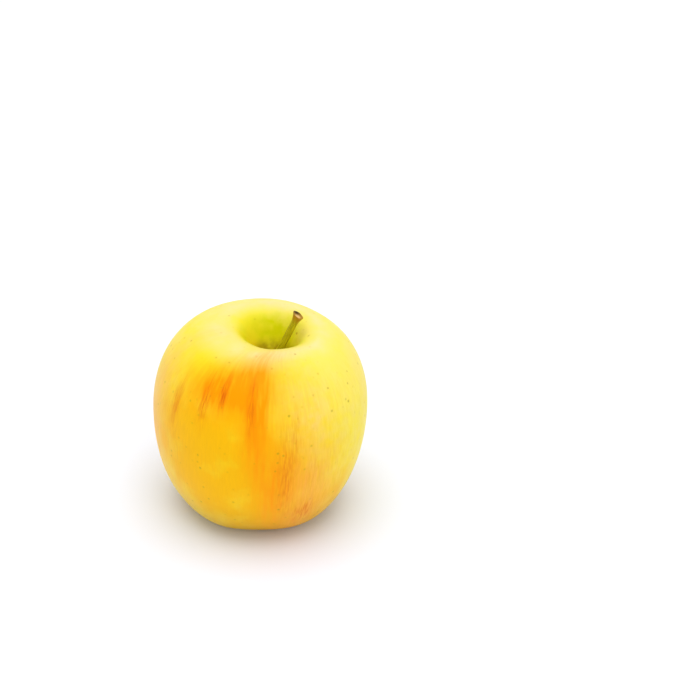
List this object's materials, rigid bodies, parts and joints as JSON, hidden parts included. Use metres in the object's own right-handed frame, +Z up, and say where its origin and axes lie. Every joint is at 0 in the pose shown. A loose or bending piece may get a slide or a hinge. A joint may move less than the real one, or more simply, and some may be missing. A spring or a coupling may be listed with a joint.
{
  "type": "whole dessert apple",
  "caption": "Whole dessert apple standing on its calyx end, with a leaning stem in a deep stem cavity and a dried calyx in the basin under it.",
  "frame": {"origin": "on the surface that the fruit rests on, under the middle of its bounding box", "axes": "+Z up along the core from the calyx to the stem; the stem leans towards +X; the picture looks along +Y, 32 degrees downwards"},
  "size_m": [0.0758, 0.0762, 0.0777],
  "materials": {
    "skin": "satin",
    "stem": "satin",
    "dried_sepals": "matte",
    "dried_stamens": "matte"
  },
  "bodies": {
    "root": {"fruit": "skin", "stem": "stem", "stamen_tuft": "dried_stamens", "sepal_1": "dried_sepals", "sepal_2": "dried_sepals", "sepal_3": "dried_sepals", "sepal_4": "dried_sepals", "sepal_5": "dried_sepals"}
  },
  "joints": []
}
